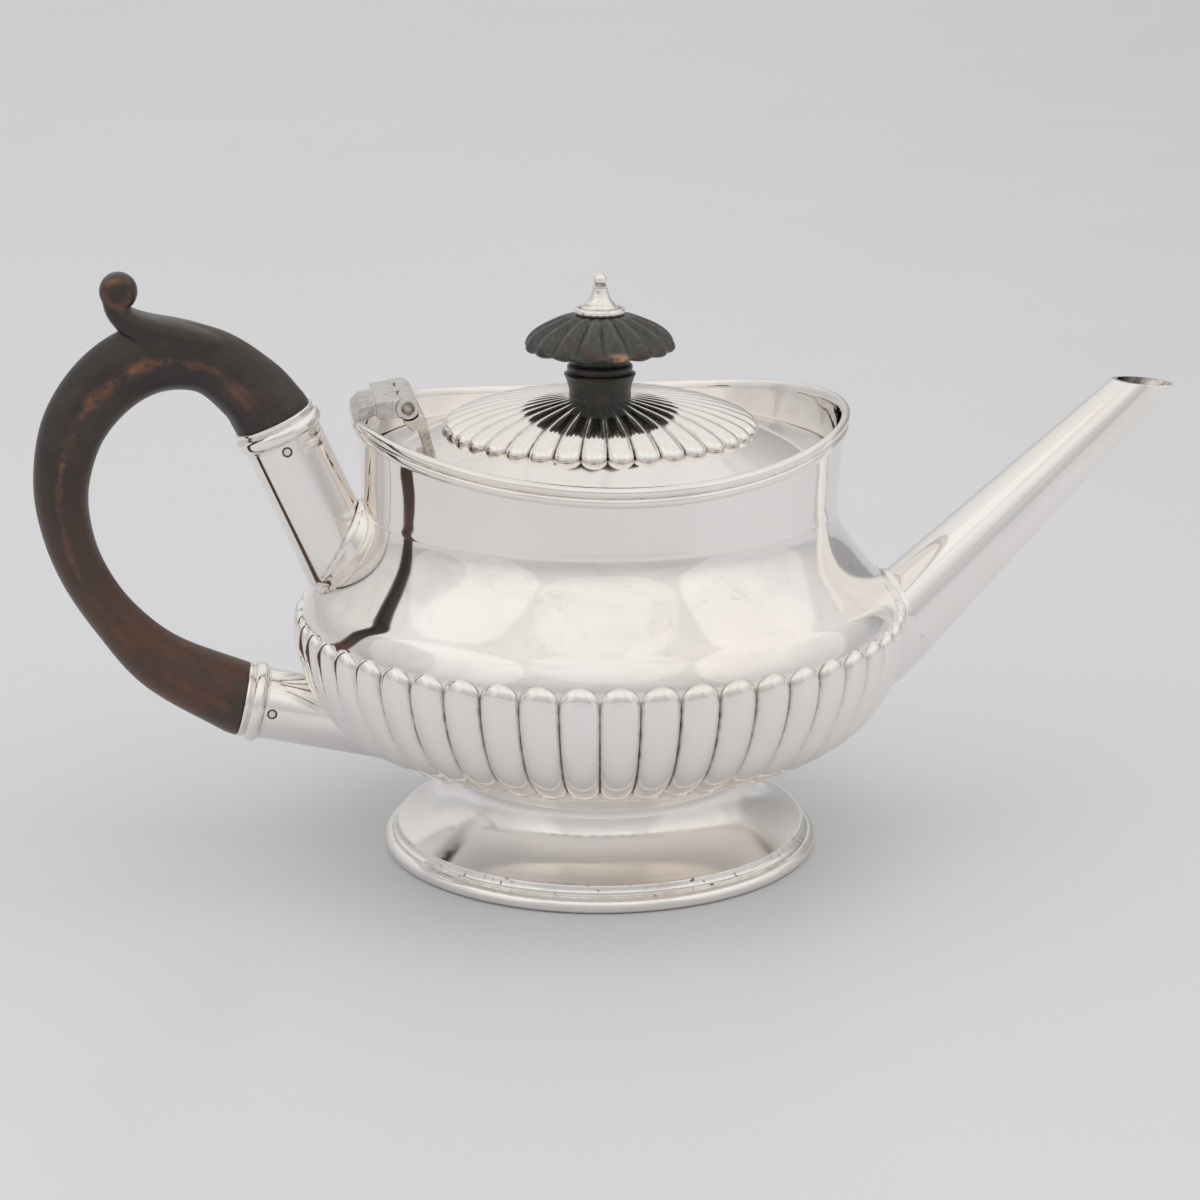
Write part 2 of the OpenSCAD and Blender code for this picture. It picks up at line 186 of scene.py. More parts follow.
class Net:
    """Small helper to wire one node material."""

    def __init__(self, name):
        self.mat = bpy.data.materials.new(name)
        self.mat.use_nodes = True
        self.t = self.mat.node_tree
        self.t.nodes.clear()
        self.out = self.t.nodes.new("ShaderNodeOutputMaterial")
        self.bsdf = self.t.nodes.new("ShaderNodeBsdfPrincipled")
        self.t.links.new(self.bsdf.outputs[0], self.out.inputs[0])
        self.pos = self.t.nodes.new("ShaderNodeTexCoord").outputs["Object"]

    def put(self, socket, v):
        if isinstance(v, bpy.types.NodeSocket):
            self.t.links.new(v, socket)
        else:
            socket.default_value = v

    def set(self, **k):
        for key, v in k.items():
            self.put(self.bsdf.inputs[key.replace("_", " ")], v)

    def mark(self, name):
        n = self.t.nodes.new("ShaderNodeAttribute")
        n.attribute_name = name
        return n.outputs["Fac"]

    def noise(self, scale, detail=2.0, rough=0.5, vec=None, distort=0.0):
        n = self.t.nodes.new("ShaderNodeTexNoise")
        self.put(n.inputs["Vector"], vec or self.pos)
        for key, v in (("Scale", scale), ("Detail", detail), ("Roughness", rough), ("Distortion", distort)):
            n.inputs[key].default_value = v
        return n.outputs["Fac"]

    def stretch(self, scale, vec=None, turn=(0, 0, 0)):
        n = self.t.nodes.new("ShaderNodeMapping")
        self.put(n.inputs["Vector"], vec or self.pos)
        n.inputs["Scale"].default_value = scale
        n.inputs["Rotation"].default_value = turn
        return n.outputs[0]

    def span(self, v, a, b, lo=0.0, hi=1.0):
        n = self.t.nodes.new("ShaderNodeMapRange")
        self.put(n.inputs["Value"], v)
        for i, w in zip(("From Min", "From Max", "To Min", "To Max"), (a, b, lo, hi)):
            n.inputs[i].default_value = w
        return n.outputs[0]

    def op(self, kind, a, b=0.0):
        n = self.t.nodes.new("ShaderNodeMath")
        n.operation = kind
        n.use_clamp = kind in ("ADD", "MULTIPLY")
        self.put(n.inputs[0], a)
        self.put(n.inputs[1], b)
        return n.outputs[0]

    def mix(self, f, a, b):
        n = self.t.nodes.new("ShaderNodeMix")
        n.data_type = "RGBA"
        self.put(n.inputs["Factor"], f)
        for i, v in zip((6, 7), (a, b)):
            self.put(n.inputs[i], v if isinstance(v, bpy.types.NodeSocket) else (*v, 1))
        return n.outputs[2]

    def bump(self, height, distance, strength=1.0, base=None):
        n = self.t.nodes.new("ShaderNodeBump")
        n.inputs["Strength"].default_value = strength
        n.inputs["Distance"].default_value = distance
        self.put(n.inputs["Height"], height)
        if base:
            self.put(n.inputs["Normal"], base)
        return n.outputs[0]


def silver(name, wave=0.00048, wave_scale=24.0, rough=0.055, wear=0.0, tint=(0.925, 0.900, 0.876),
           stain_and_shade=(0.25, 0.195, 0.165)):
    """Old polished sterling: broad hammer wave, hairline scratches, warm brown tarnish where the mesh marks it, and
    painted shade where the mark stands for shade (the sides of the bowl's lobes, the hinge's end faces and root).
    """
    m = Net(name)
    warm = m.span(m.noise(18, 2), 0.38, 0.68)
    clean = m.mix(warm, tint, (tint[0] * 0.985, tint[1] * 0.965, tint[2] * 0.935))
    speck = m.span(m.noise(420, 3, 0.6), 0.42, 0.62)
    patch = m.span(m.noise(34, 2), 0.36, 0.64, 0.45, 0.9)
    # The brown stain colour goes where the mark says: tarnish, and in places painted shade.
    dirt_and_shade = m.op("MULTIPLY", m.op("MULTIPLY", m.mark("tarnish_and_shade"), patch), m.op("ADD", m.op("MULTIPLY", speck, 0.55), 0.45))
    spot = m.op("MULTIPLY", m.mark("fleck"), m.span(m.noise(620, 2, 0.5), 0.66, 0.70))
    dirt_and_shade = m.op("MAXIMUM", dirt_and_shade, spot)
    m.set(Base_Color=m.mix(dirt_and_shade, clean, stain_and_shade), Metallic=1.0)
    hair = m.noise(1.0, 3, 0.65, vec=m.stretch((900, 900, 5200), turn=(0.5, 0.3, 0.2)))
    haze = m.span(m.noise(55, 3, 0.6), 0.35, 0.7, rough * 0.75, rough * 1.7 + wear)
    m.set(Roughness=m.op("ADD", haze, m.op("MULTIPLY", dirt_and_shade, 0.35)))
    n1 = m.bump(m.noise(wave_scale, 1.5, 0.4, distort=0.4), wave)
    m.set(Normal=m.bump(hair, 0.000004, 0.5 + wear * 4, n1))
    return m.mat


def dark_wood(name):
    """Wood stained near black, worn red-brown on the ridges, warmer low down where the hand holds it."""
    m = Net(name)
    wear, low = m.mark("wear"), m.mark("low")
    grain = m.noise(1.0, 5, 0.62, vec=m.stretch((28, 900, 1)))
    fibre = m.noise(1.0, 4, 0.6, vec=m.stretch((1400, 260, 1400)), distort=0.8)
    blot = m.noise(95, 4, 0.6)
    rub = m.op("MULTIPLY", wear, m.span(m.noise(240, 5, 0.72), 0.40, 0.56, 0.08, 1.0))
    base = m.mix(low, (0.021, 0.019, 0.017), (0.100, 0.044, 0.026))
    base = m.mix(m.span(blot, 0.46, 0.66), base, (0.055, 0.036, 0.028))
    base = m.mix(m.op("MULTIPLY", m.span(fibre, 0.45, 0.75), 0.4), base, (0.010, 0.009, 0.008))
    rust = m.mix(m.span(m.noise(130, 3), 0.4, 0.6), (0.15, 0.055, 0.028), (0.27, 0.115, 0.055))
    m.set(Base_Color=m.mix(rub, base, rust), Specular_IOR_Level=0.5)
    m.set(Roughness=m.span(m.noise(70, 3), 0.3, 0.7, 0.28, 0.44))
    m.set(Normal=m.bump(m.op("ADD", m.op("MULTIPLY", grain, 0.5), m.op("MULTIPLY", fibre, 0.5)), 0.00012, 0.6))
    return m.mat


def ebony(name, deep=(0.026, 0.027, 0.024), light=(0.078, 0.075, 0.066)):
    """Black wood, faint grey-green cast, brown flecks in the pores, one worn tan patch where the mesh marks it."""
    m = Net(name)
    fibre = m.noise(1.0, 4, 0.65, vec=m.stretch((1500, 260, 900)))
    base = m.mix(m.span(fibre, 0.35, 0.7), deep, light)
    base = m.mix(m.span(m.noise(160, 3), 0.58, 0.72), base, (0.062, 0.030, 0.026))
    base = m.mix(m.op("MULTIPLY", m.mark("wear"), m.span(m.noise(600, 3), 0.3, 0.5)), base, (0.50, 0.27, 0.14))
    base = m.mix(m.op("MULTIPLY", m.mark("ridge"), 0.5), base, (0.15, 0.145, 0.13))
    m.set(Base_Color=base, Specular_IOR_Level=0.55)
    m.set(Roughness=m.span(m.noise(300, 3), 0.3, 0.7, 0.22, 0.36))
    m.set(Normal=m.bump(fibre, 0.00006, 0.5))
    return m.mat


SILVER = silver("silver_body")
SILVER_PLAIN = silver("silver_tube", wave=0.0002, wave_scale=34)
SILVER_WORN = silver("silver_worn", wave=0.00025, wave_scale=120, rough=0.09, wear=0.05)
WOOD = dark_wood("stained_wood")
SILVER_HINGE = silver("silver_hinge", wave=0.0002, wave_scale=180, rough=0.13, wear=0.06, tint=(0.83, 0.81, 0.78))
SILVER_WAVY = silver("silver_collar", wave=0.0006, wave_scale=55)
SILVER_FOOT = silver("silver_foot", wave=0.0005, wave_scale=30, rough=0.13)
EBONY = ebony("ebony_wood")
GRIME = ebony("old_grime", (0.014, 0.009, 0.006), (0.060, 0.042, 0.030))
# The neck's copy of the ebony is darker: painted shade under the cap's overhang.
EBONY_SHADED = ebony("ebony_neck_shaded", (0.010, 0.013, 0.010), (0.030, 0.033, 0.028))

# ------------------------------------------------------------------ body

SEAM_Z = 87.0
RIM_Z, RIM_RISE, RIM_R = 104.7, 7.0, 60.9
RIM_ARC = (RIM_R ** 2 + RIM_RISE ** 2) / (2 * RIM_RISE)
BODY = [(58, 87), (58.3, 85), (59.5, 82), (61.6, 78.4), (64.6, 74.2), (68, 70), (71.6, 66.1), (74.5, 62.4),
        (75.7, 59.2), (75.7, 55.3), (74.8, 50.3), (72.9, 44.8), (70, 39.4), (66.5, 35.4), (62.5, 32.4), (58, 30),
        (52, 27.5), (46, 25), (40, 22.2), (36.5, 20.6)]
INNER = [(36, 21.8), (39.6, 23.4), (45.5, 26.2), (51.5, 28.6), (56, 30.6), (60, 33.2), (64, 37), (67.6, 42),
         (70.4, 48), (71.8, 54), (71.7, 58.5), (70, 62.4), (66.6, 67), (63.3, 71.4), (60.2, 75.6), (58.1, 79.5),
         (56.9, 83), (56.7, 87)]
LOBES, PER_LOBE = 50, 20
STUB_A = 6.8


def cone_out(z):
    return 58 + 0.064 * (z - SEAM_Z)


def rim_top(x):
    return RIM_Z + RIM_ARC - np.sqrt(RIM_ARC ** 2 - x * x)


env = curve(BODY, 0.25)
env_s = np.concatenate([[0], np.cumsum(np.linalg.norm(np.diff(env, axis=0), axis=1))])
tan = np.gradient(env, env_s, axis=0)
tan /= np.linalg.norm(tan, axis=1)[:, None]


def body_r(z):
    """Outside radius of the body and collar at height z."""
    return np.where(z > SEAM_Z, cone_out(z), np.interp(z, env[::-1, 1], env[::-1, 0]))


def lobe_columns(count, per, valley):
    u = np.arange(per) / per * 2 - 1
    x = np.sin(PI / 2 * u)
    th = valley + (np.arange(count)[:, None] + (x[None, :] + 1) / 2) * 2 * PI / count
    return np.tile(x, count), th.ravel()


def cut_strainer(bowl):
    """Seven strainer holes through the bowl wall behind the spout."""
    go = placed((60, 54.6), STUB_A)
    th = np.arange(20) * 2 * PI / 20
    verts, faces = [], []
    for i in range(7):
        a = i * PI / 3
        cx, cy = (0, 0) if i == 6 else (4.6 * math.cos(a), 4.6 * math.sin(a))
        ends = [go(np.stack([cx + 1.5 * np.cos(th), cy + 1.5 * np.sin(th), z + 0 * th], -1)) for z in (0.0, 30.0)]
        b = len(verts) * 20
        verts += ends
        faces += [(b + k, b + (k + 1) % 20, b + 20 + (k + 1) % 20, b + 20 + k) for k in range(20)]
        faces += [tuple(range(b, b + 20))[::-1], tuple(range(b + 20, b + 40))]
    me = bpy.data.meshes.new("strainer_cut")
    me.from_pydata((np.vstack(verts) * MM).tolist(), [], faces)
    bm = bmesh.new()
    bm.from_mesh(me)
    bmesh.ops.recalc_face_normals(bm, faces=bm.faces)
    bm.to_mesh(me)
    bm.free()
    cutter = bpy.data.objects.new("strainer_cut", me)
    bpy.context.scene.collection.objects.link(cutter)
    mod = bowl.modifiers.new("holes", "BOOLEAN")
    mod.operation, mod.solver, mod.object = "DIFFERENCE", "MANIFOLD", cutter
    done = bpy.data.meshes.new_from_object(bowl.evaluated_get(bpy.context.evaluated_depsgraph_get()))
    bowl.modifiers.clear()
    bowl.data = done
    bpy.data.objects.remove(cutter)


def make_bowl():
    x, th = lobe_columns(LOBES, PER_LOBE, CAMERA_AZ)
    s_arch = np.interp(-62.6, -env[:, 1], env_s)
    s_all = env_s[-1]
    s_end = np.interp(-29.7, -env[:, 1], env_s)
    rows = np.concatenate([np.linspace(0, s_arch - 9, 13), np.linspace(s_arch - 9, s_arch, 15)[1:],
                           s_arch + np.array([.15, .35, .6, .9, 1.3, 1.8, 2.4, 3.1, 3.9, 4.8]),
                           np.linspace(s_arch + 5.7, s_end - 4, 54),
                           s_end - np.array([3.2, 2.5, 1.9, 1.4, 1.0, .65, .35, .15, 0]),
                           np.linspace(s_end + 0.4, s_all, 16)])
    arch, foot = 4.8 * (1 - np.sqrt(1 - x * x)), 2.2 * (1 - np.sqrt(1 - x * x))
    r = rows[:, None]
    up = np.where(r <= s_arch, np.clip((r - s_arch + 11) / 11, 0, 1) ** 1.4, np.clip(1 - (r - s_arch) / 12, 0, 1))
    dn = np.where(r <= s_end, np.clip((r - s_end + 10) / 10, 0, 1), np.clip(1 - (r - s_end) / 3.6, 0, 1))
    s = r + up * arch - dn * foot
    R, Z = np.interp(s, env_s, env[:, 0]), np.interp(s, env_s, env[:, 1])
    nr, nz = -np.interp(s, env_s, tan[:, 1]), np.interp(s, env_s, tan[:, 0])
    top, bot = s - s_arch - arch, s_end - foot - s
    amp = 2.25 * np.clip(R / 70, 0, 1) ** 1.3
    cap = lambda d, c: np.sqrt(1 - (1 - np.clip(d / c, 0, 1)) ** 2)
    dip = amp * step01(s_arch - 7, s_arch + 5, s) * (1 - step01(s_end - 3, s_end + 1, s))
    shape = (1 - np.abs(x) ** 2.1) ** 0.62
    h = amp * shape * cap(top, 4.2) * cap(bot, 3.0)
    off = np.minimum(h, dip + 0.35) - dip
    R, Z = R + nr * off, Z + nz * off
    w = PI * R / LOBES
    inside = (top > -0.2) & (bot > -0.3)
    wide = 0.34 + 0.30 * np.exp(-np.clip(top, 0, 60) / 10)
    # Tarnish along the lobe valleys; the broad 0.2 * |x| ** 4 term is painted shade, darkening each lobe towards its
    # valleys.
    tarnish_and_shade = np.maximum(0.8 * np.exp(-((1 - np.abs(x)) * w / wide) ** 2), 0.2 * np.abs(x) ** 4) * inside
    tarnish_and_shade = np.maximum(tarnish_and_shade, 0.8 * np.exp(-(top / 0.22) ** 2) * np.abs(x) ** 0.7)
    tarnish_and_shade = np.maximum(tarnish_and_shade, 0.45 * np.exp(-(bot / 0.25) ** 2))
    outer = np.stack([R * np.cos(th), R * np.sin(th), Z], -1)
    inner_sec = curve(INNER, 3.0)[::-1]
    inner = np.stack([inner_sec[:, :1] * np.cos(th), inner_sec[:, :1] * np.sin(th),
                      np.repeat(inner_sec[:, 1:2], len(th), 1)], -1)
    grid = np.concatenate([outer[::-1], inner])
    marks = np.concatenate([tarnish_and_shade[::-1], np.zeros(inner.shape[:2])])
    bowl = rings("bowl_lobed", grid, SILVER, "root", "silver", ["body_bowl"], tarnish_and_shade=marks, sharp=60)
    cut_strainer(bowl)


make_bowl()


def make_collar():
    n = 288
    th = np.arange(n) * 2 * PI / n
    low = np.array([(0.0, 0.0), (0.25, 0.06), (0.34, 0.5), (0.30, 1.1), (0.12, 1.6), (0.0, 2.2), (0.0, 3.2)])
    mid = np.linspace(0.0, 1.0, 9)
    reed = curve([(0, -5.0), (0.10, -4.72), (0.42, -4.60), (0.80, -4.15), (0.93, -3.45), (0.80, -2.80), (0.50, -2.42)], 0.2)
    reed2 = curve([(0.50, -2.42), (0.62, -2.18), (0.90, -1.80), (1.0, -1.2), (0.90, -0.55), (0.60, -0.14), (0.15, 0.0)], 0.2)
    lip = np.array([(-0.15, -0.01), (-0.40, -0.07), (-0.55, -0.25)])
    grids, tarnish_and_shade = [], []
    zt = rim_top(60 * np.cos(th))
    over = RIM_R - 0.06 - cone_out(zt)

    def ring(rad, z, t=0.0):
        grids.append(np.stack([rad * np.cos(th), rad * np.sin(th), z + 0 * th], -1))
        tarnish_and_shade.append(np.full(n, t))

    for dr, dz in low:
        ring(cone_out(SEAM_Z + dz) + dr * 0.6, SEAM_Z + dz + 0 * th, 0.3 if dz < 0.1 else 0.0)
    z0, z1 = SEAM_Z + 3.6, zt - 5.2
    for f in mid:
        z = z0 + (z1 - z0) * f
        ring(cone_out(z), z)
    for f, dz in np.vstack([reed, reed2[1:]]):
        groove = max(math.exp(-((dz + 2.42) / 0.12) ** 2), 0.8 * math.exp(-((dz + 4.85) / 0.12) ** 2))
        ring(cone_out(zt + dz) + f * over, zt + dz, 0.55 * groove)
    for dr, dz in lip:
        ring(cone_out(zt) + dr, zt + dz)
    for f in np.linspace(0, 1, 14):
        z = (zt - 0.7) * (1 - f) + SEAM_Z * f
        ring(cone_out(z) - 1.0, z)
    return rings("collar_and_reeded_rim", grids, SILVER_WAVY, "root", "silver", ["neck_collar", "rim_moulding"],
                 closed=True, tarnish_and_shade=np.array(tarnish_and_shade), sharp=50)


make_collar()

# ------------------------------------------------------------------ foot

slope = curve([(36.47, 20.75), (36.1, 19.6), (36.0, 18.0), (36.25, 16.8), (36.7, 15.3), (37.5, 13.6), (38.9, 11.7),
               (41.0, 9.9), (43.6, 8.4), (46.6, 7.2), (49.4, 6.4), (50.6, 6.12)], 0.7)
under = curve([(49.0, 5.0), (45.8, 6.0), (42.6, 7.3), (39.8, 9.0), (37.5, 11.2), (36.0, 13.6), (35.3, 16.2),
               (35.1, 18.6), (35.5, 20.4)], 1.4)
sec = np.vstack([slope, [(50.75, 5.6), (50.4, 5.1)], under])
tr = np.zeros(len(sec))
rings("foot_pedestal_turned", turned(sec, 240), SILVER_FOOT, "root", "silver", ["foot_pedestal"], closed=True, tarnish_and_shade=tr[:, None], sharp=45)
step = [(50.2, 4.9), (50.5, 5.95), (50.62, 6.13), (50.86, 6.13), (51.0, 5.9), (51.08, 5.3), (51.25, 4.75), (51.6, 4.35)]
flat = [(51.6, 4.35), (52.05, 4.2), (52.2, 4.0), (52.18, 3.72)]
bead = [(52.5 + 1.78 * math.cos(a), 1.8 + 1.78 * math.sin(a)) for a in np.radians(np.linspace(96, -84, 22))]
sec = np.vstack([step, flat[1:], bead, [(52.5, 0.0), (51.1, 0.0), (50.9, 0.25), (50.2, 2.5), (49.4, 4.2)]])
tr = np.zeros(len(sec))
spots = np.zeros(len(sec))
tr[4:7], tr[len(step) + 1:len(step) + 4] = 0.2, 0.5
spots[1:7], spots[len(step) - 2:len(step) + 8] = 1.0, 0.9
rings("foot_bead", turned(sec, 240), SILVER, "root", "silver", ["foot_rim"], closed=True, tarnish_and_shade=tr[:, None], fleck=spots[:, None],
      sharp=45)

# ------------------------------------------------------------------ lid


def plate_z(r):
    return np.interp(r, [36, 40, 46, 52, 57.1], [105.9, 104.9, 103.2, 101.4, 99.9])


top = curve([(35.4, 106.05), (40, 104.9), (46, 103.2), (52, 101.45), (56.5, 100.05)], 0.9)
edge = [(56.9, 99.85), (57.08, 99.6), (57.08, 99.3), (56.9, 99.08)]
low = curve([(56.5, 99.1), (52, 100.5), (46, 102.3), (40, 104.0), (35.4, 105.15)], 2.5)
sec = np.vstack([top, edge, low])
rings("lid_plate_disc", turned(sec, 240), SILVER, "lid", "silver", ["lid_plate"], closed=True, sharp=50)

FLUTES = 36


def make_dome():
    x, th = lobe_columns(FLUTES, 16, CAMERA_AZ + math.radians(2.9))
    crest = curve([(38.55, 105.0), (38.6, 106.2), (38.1, 107.3), (36.9, 108.3), (35.0, 109.2), (32, 110.3), (28, 111.45),
                   (22, 112.65), (15, 113.5), (11, 113.85), (8.6, 114.0)], 0.5)
    s = np.concatenate([[0], np.cumsum(np.linalg.norm(np.diff(crest, axis=0), axis=1))])[:, None]
    re, ze = crest[:, :1], crest[:, 1:2]
    tip = 3.1 * (1 - np.sqrt(1 - x * x))
    R = re - tip * np.clip(1 - (s - 1.5) / 9, 0, 1) ** 1.2
    depth = 0.40 * PI * R / FLUTES * np.clip((R - 6) / 6, 0.3, 1)
    shape = (1 - np.abs(x) ** 2.0) ** 0.6
    drop = np.minimum(depth, 0.55 * np.maximum(ze - plate_z(np.maximum(R, 36)), 0)) * (1 - shape)
    Z = ze - drop
    Z[0] = plate_z(R[0]) - 0.35
    w = PI * R / FLUTES
    tarnish_and_shade = np.exp(-((1 - np.abs(x)) * w / 0.30) ** 2) * step01(8, 14, R)
    grime = 0.35 + 1.6 * np.exp(-(((th + PI * 0.86) % (2 * PI) - 0) / 0.16) ** 2)
    tarnish_and_shade[:3] = np.maximum(tarnish_and_shade[:3], grime)
    outer = np.stack([R * np.cos(th), R * np.sin(th), Z], -1)
    sec = curve([(34.6, 105.35), (34.4, 107.2), (32.6, 108.7), (28, 110.3), (22, 111.5), (15, 112.3), (8, 112.9), (1.6, 113.0)], 2.5)
    inner = np.stack([sec[:, :1] * np.cos(th), sec[:, :1] * np.sin(th), np.repeat(sec[:, 1:2], len(th), 1)], -1)
    crown = turned([(8.0, 114.02), (1.6, 114.02)], 4)
    crown = np.stack([np.array([[8.0], [1.6]]) * np.cos(th), np.array([[8.0], [1.6]]) * np.sin(th),
                      np.full((2, len(th)), 113.99)], -1)
    grid = np.concatenate([outer, crown, inner[::-1]])
    marks = np.concatenate([tarnish_and_shade, np.zeros((2 + len(sec), len(th)))])
    return rings("lid_dome_fluted", grid, SILVER, "lid", "silver", ["lid_dome"], closed=True, tarnish_and_shade=marks, sharp=60)


make_dome()

neck = np.vstack([[(1.55, 114.0)], curve([(7.55, 114.0), (7.5, 114.9), (7.66, 116.0), (8.05, 117.4), (8.5, 118.7)], 0.4),
                  [(8.72, 118.95), (8.7, 119.25), (8.2, 119.5), (7.8, 119.75)],
                  curve([(7.75, 119.8), (7.95, 120.35), (8.0, 120.9), (7.75, 121.4), (7.3, 121.9), (7.15, 122.8), (7.3, 124.15)], 0.3)[1:],
                  [(1.55, 124.15)]])
rings("knob_neck_turned", turned(neck, 96), EBONY_SHADED, "lid", "ebony", ["knob_neck"], closed=True, sharp=35)


def make_cap():
    x, th = lobe_columns(16, 18, CAMERA_AZ + math.radians(2.5))
    sec = curve([(7.4, 124.25), (12, 124.75), (15.6, 124.6), (17.4, 124.85), (18.25, 125.55), (18.35, 126.4), (17.8, 127.7),
                 (16.4, 129.3), (14.0, 130.9), (11.0, 132.3), (8.4, 133.2), (6.6, 133.55)], 0.45)
    re, ze = sec[:, :1], sec[:, 1:2]
    shape = 0.55 * np.sqrt(1 - 0.97 * x * x) + 0.45 * (1 + np.cos(PI * x)) / 2
    high = step01(124.9, 126.8, ze)
    dig = 1.75 * (high * step01(4.0, 13, re) + (1 - high) * 0.4 * step01(13, 17, re)) * (1 - shape)
    t = np.gradient(sec, axis=0)
    t /= np.linalg.norm(t, axis=1)[:, None]
    nr, nz = t[:, 1:2], -t[:, :1]
    R, Z = re - nr * dig, ze - nz * dig
    outer = np.stack([R * np.cos(th), R * np.sin(th), Z], -1)
    crown = np.stack([np.array([[5.2], [1.55]]) * np.cos(th), np.array([[5.2], [1.55]]) * np.sin(th), np.full((2, len(th)), 133.6)], -1)
    base = np.stack([np.array([[1.55]]) * np.cos(th), np.array([[1.55]]) * np.sin(th), np.full((1, len(th)), 124.25)], -1)
    grid = np.concatenate([base, outer, crown])
    az = (th - CAMERA_AZ + PI) % (2 * PI) - PI
    chip = np.exp(-((az - 0.26) / 0.13) ** 4) * np.exp(-((Z - 125.9) / 1.15) ** 4) * (R > 14)
    wear = np.concatenate([np.zeros((1, len(th))), chip, np.zeros((2, len(th)))])
    crease = np.exp(-((1 - np.abs(x)) / 0.09) ** 2) * high * step01(5, 10, re)
    ridge = np.concatenate([np.zeros((1, len(th))), crease, np.zeros((2, len(th)))])
    rows, cols = grid.shape[:2]
    return piece("knob_cap_lobed", grid.reshape(-1, 3), ring_faces(rows, cols, True), EBONY, "lid", "ebony", ["knob_cap"],
                 {"wear": wear, "ridge": ridge}, sharp=60)


make_cap()
washer = np.vstack([[(1.55, 133.6), (5.6, 133.6)],
                    curve([(5.6, 133.6), (6.0, 133.8), (6.15, 134.3), (6.12, 134.8), (5.85, 135.15), (5.4, 135.27)], 0.15)[1:],
                    [(5.1, 135.28), (4.95, 135.05), (4.8, 135.3)], curve([(4.4, 135.42), (3.9, 135.7), (3.65, 136.25)], 0.15),
                    [(1.55, 136.25)]])
tr = np.where(np.hypot(washer[:, 0] - 4.95, washer[:, 1] - 135.1) < 0.3, 1.6, 0.0)
rings("finial_washer_turned", turned(washer, 72), SILVER_WORN, "lid", "silver", ["finial_washer"], closed=True, tarnish_and_shade=tr[:, None],
      fleck=0.6, sharp=35)
ball = [(1.66 * math.cos(a), 141.94 + 1.66 * math.sin(a)) for a in np.radians(np.linspace(-33, 88, 16))]
spire = np.vstack([[(3.6, 136.27)], curve([(3.58, 136.3), (3.05, 136.75), (2.6, 137.5), (2.25, 138.4), (1.98, 139.3), (1.86, 139.85)], 0.2),
                   [(1.76, 139.95), (1.9, 140.15), (1.86, 140.4), (1.5, 140.5), (1.36, 140.62), (1.36, 140.95)], ball])
tr = np.where((spire[:, 1] > 140.5) & (spire[:, 1] < 141.2), 2.0, 0.0) + 0.8 * (np.abs(spire[:, 1] - 139.95) < 0.05)
rings("finial_spire_turned", turned(spire, 64), SILVER_WORN, "lid", "silver", ["finial_spire"], tarnish_and_shade=tr[:, None], fleck=0.5, sharp=35)

# ------------------------------------------------------------------ spout

M, SPOUT_A, R0, R1, SL = (78.2, 56.7), 43.8, 11.1, 5.85, 81.8


def cut_t(go, ring_r, k, psi, p, a):
    """How far along the bar the line at angle psi on a cone (radius ring_r + k t) meets the plane through p at angle a."""
    ca, sa = math.cos(math.radians(a)), math.sin(math.radians(a))
    n = np.array([-sa, 0, ca])
    p3 = np.array([p[0], 0, p[1]])
    o = go(np.stack([ring_r * np.cos(psi), ring_r * np.sin(psi), 0 * psi], -1))
    e = go(np.stack([(ring_r + k) * np.cos(psi), (ring_r + k) * np.sin(psi), 0 * psi + 1], -1)) - o
    return (p3 - o) @ n / (e @ n)


def make_spout():
    go = placed(M, SPOUT_A)
    psi = np.arange(96) * 2 * PI / 96
    k = (R1 - R0) / SL
    grids, tarnish_and_shade = [], []
    for t, rows, back in ((0.0, 60, False), (-0.8, 24, True)):
        a = cut_t(go, R0 + t, k, psi, M, -64.7)
        b = cut_t(go, R0 + t, k, psi, (137.3, 113.2), -6)
        f = np.linspace(0, 1, rows)
        f = f[::-1] if back else f
        for q in f:
            z = a + (b - a) * q
            if not back and q == 1:
                z = z - 0.15
            if back and q == 1:
                z = z + 0.0
            r = R0 + t + k * z
            grids.append(go(np.stack([r * np.cos(psi), r * np.sin(psi), z], -1)))
            tarnish_and_shade.append(np.full(96, 0.9 if back and q > 0.9 else 0.0))
            if not back and q == 1:
                r2 = r - 0.2
                grids.append(go(np.stack([r2 * np.cos(psi), r2 * np.sin(psi), b], -1)))
                tarnish_and_shade.append(np.zeros(96))
    return rings("spout_tube", grids, SILVER_PLAIN, "root", "silver", ["spout"], closed=True, tarnish_and_shade=np.array(tarnish_and_shade), sharp=45)


make_spout()


def onto_body(start, dirs, lift=0.0, reach=60.0):
    """Points where rays from start along dirs meet the body, or nan."""
    t = np.arange(0, reach, 0.05)
    p = start[:, None, :] + dirs[:, None, :] * t[None, :, None]
    ins = np.hypot(p[..., 0], p[..., 1]) <= body_r(p[..., 2]) + lift
    hit = ins.argmax(1)
    out = p[np.arange(len(p)), hit]
    out[~ins.any(1)] = np.nan
    return out


def body_skin(p, lift):
    """p moved straight out or in to the body's skin."""
    r = np.hypot(p[..., 0], p[..., 1])
    k = (body_r(p[..., 2]) + lift) / r
    return np.stack([p[..., 0] * k, p[..., 1] * k, p[..., 2]], -1)


